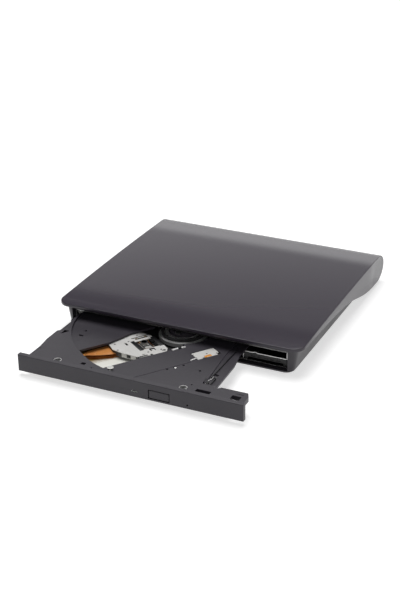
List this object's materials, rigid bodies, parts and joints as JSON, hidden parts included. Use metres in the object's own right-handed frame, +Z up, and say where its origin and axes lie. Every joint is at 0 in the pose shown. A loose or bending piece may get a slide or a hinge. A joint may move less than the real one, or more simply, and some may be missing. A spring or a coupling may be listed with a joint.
{
  "type": "external disc drive",
  "caption": "Slim external drive with a wing-shaped cover and a tray that slides out on runners, with spindle, moving pickup, eject button and latch.",
  "frame": {"origin": "on the flat underside of the lower housing, below the middle of the top cover", "axes": "+X to the right seen from the front, +Y to the back, so the tray comes out along -Y, +Z up"},
  "size_m": [0.1456, 0.195, 0.0191],
  "materials": {
    "cover_plastic": "fine matte moulded plastic",
    "shell_plastic": "fine matte moulded plastic",
    "bezel_plastic": "fine spark-eroded plastic",
    "tray_plastic": "fine spark-eroded plastic",
    "bright_steel": "cold-rolled zinc-plated sheet",
    "shield_steel": "cold-rolled zinc-plated sheet",
    "pickup_metal": "satin die-cast and sheet",
    "rod_steel": "ground and polished",
    "black_plastic": "glass-filled plastic",
    "white_plastic": "natural acetal",
    "rubber": "soft matte rubber",
    "board_green": "solder-masked board",
    "copper_ribbon": "amber polyimide film",
    "lens_glass": "polished",
    "light_clear": "clear moulded",
    "rotor_metal": "turned"
  },
  "bodies": {
    "housing": {"top_cover": "cover_plastic", "bottom_shell": "shell_plastic", "rubber_feet": "rubber", "housing_screws": "rod_steel", "bridge_board": "board_green", "data_socket": "bright_steel", "drive_connector": "black_plastic", "drive_chassis": "bright_steel", "drive_top_cover": "bright_steel", "board_shield": "shield_steel", "main_board": "board_green", "board_chips": "black_plastic", "board_connector": "black_plastic", "left_guide": "white_plastic", "right_guide": "white_plastic", "latch_post": "rod_steel", "board_ribbon": "white_plastic", "bay_spacer": "black_plastic"},
    "tray_unit": {"tray": "tray_plastic", "bezel": "bezel_plastic", "tray_bottom_cover": "bright_steel", "traverse_plate": "black_plastic", "dampers": "rubber", "spindle_base": "black_plastic", "main_guide_rod": "rod_steel", "sub_guide_rod": "rod_steel", "stepper_motor": "pickup_metal", "tray_screws": "rod_steel", "tray_board": "board_green", "tact_switch": "black_plastic", "light_pipe": "light_clear", "latch_pin": "rod_steel", "solenoid": "bright_steel"},
    "left_runner": {"left_rail": "shield_steel"},
    "right_runner": {"right_rail": "shield_steel"},
    "ribbon_fold": {"main_ribbon": "white_plastic"},
    "spindle": {"turntable": "rotor_metal", "turntable_ring": "rubber", "hub_cone": "black_plastic", "disc_clamp": "black_plastic"},
    "pickup": {"pickup_carriage": "pickup_metal", "pickup_cover": "pickup_metal", "laser_block": "pickup_metal", "lens_magnets": "black_plastic", "screw_follower": "white_plastic"},
    "focus_lens": {"lens_holder": "white_plastic", "lens": "lens_glass"},
    "sled_screw": {"lead_screw": "rod_steel"},
    "pickup_fold": {"pickup_ribbon": "copper_ribbon"},
    "button": {"eject_button": "bezel_plastic"},
    "switch_pin": {"switch_plunger": "white_plastic"},
    "latch": {"latch_hook": "white_plastic"},
    "solenoid_core": {"solenoid_plunger": "rod_steel"},
    "release_lever": {"emergency_lever": "black_plastic"}
  },
  "joints": [
    {"name": "tray_slide", "type": "slide", "parent": "housing", "child": "tray_unit", "axis": [0, -1, 0], "range_m": [-0.0571, 0.0609]},
    {"name": "left_rail_slide", "type": "slide", "parent": "housing", "child": "left_runner", "axis": [0, -1, 0], "range_m": [-0.02855, 0.03045]},
    {"name": "right_rail_slide", "type": "slide", "parent": "housing", "child": "right_runner", "axis": [0, -1, 0], "range_m": [-0.02855, 0.03045]},
    {"name": "ribbon_fold_slide", "type": "slide", "parent": "housing", "child": "ribbon_fold", "axis": [0, -1, 0], "range_m": [-0.02855, 0.03045]},
    {"name": "spindle_spin", "type": "hinge", "parent": "tray_unit", "child": "spindle", "pos_m": [0.0004, -0.0595, 0.007], "axis": [0, 0, 1], "continuous": true},
    {"name": "pickup_slide", "type": "slide", "parent": "tray_unit", "child": "pickup", "axis": [-0.5821, -0.8131, 0], "range_m": [-0.0012, 0.029]},
    {"name": "lead_screw_turn", "type": "hinge", "parent": "tray_unit", "child": "sled_screw", "pos_m": [0.0057, -0.10019, 0.0055], "axis": [-0.5821, -0.8131, 0], "range_deg": [-145, 3481]},
    {"name": "pickup_fold_slide", "type": "slide", "parent": "tray_unit", "child": "pickup_fold", "axis": [-0.5821, -0.8131, 0], "range_m": [-0.0006, 0.0145]},
    {"name": "lens_focus", "type": "slide", "parent": "pickup", "child": "focus_lens", "axis": [0, 0, 1], "range_m": [-0.0004, 0.0004], "stiffness_N_per_m": 60},
    {"name": "button_press", "type": "slide", "parent": "tray_unit", "child": "button", "axis": [0, 1, 0], "range_m": [0, 0.0004], "stiffness_N_per_m": 900},
    {"name": "switch_press", "type": "slide", "parent": "tray_unit", "child": "switch_pin", "axis": [0, 1, 0], "range_m": [0, 0.0004]},
    {"name": "latch_turn", "type": "hinge", "parent": "tray_unit", "child": "latch", "pos_m": [0.0252, -0.0977, 0.004], "axis": [0, 0, -1], "range_deg": [0, 14]},
    {"name": "solenoid_pull", "type": "slide", "parent": "tray_unit", "child": "solenoid_core", "axis": [-1, 0, 0], "range_m": [0, 0.0025], "stiffness_N_per_m": 10},
    {"name": "release_push", "type": "slide", "parent": "tray_unit", "child": "release_lever", "axis": [0, 1, 0], "range_m": [0, 0.003], "stiffness_N_per_m": 60}
  ],
  "couplings": [
    {"joint": "left_rail_slide", "follows": "tray_slide", "ratio": 0.5},
    {"joint": "right_rail_slide", "follows": "tray_slide", "ratio": 0.5},
    {"joint": "ribbon_fold_slide", "follows": "tray_slide", "ratio": 0.5},
    {"joint": "lead_screw_turn", "follows": "pickup_slide", "rad_per_m": 2094.4},
    {"joint": "pickup_fold_slide", "follows": "pickup_slide", "ratio": 0.5},
    {"joint": "switch_press", "follows": "button_press", "ratio": 1},
    {"joint": "latch_turn", "follows": "solenoid_pull", "rad_per_m": 97.738}
  ]
}
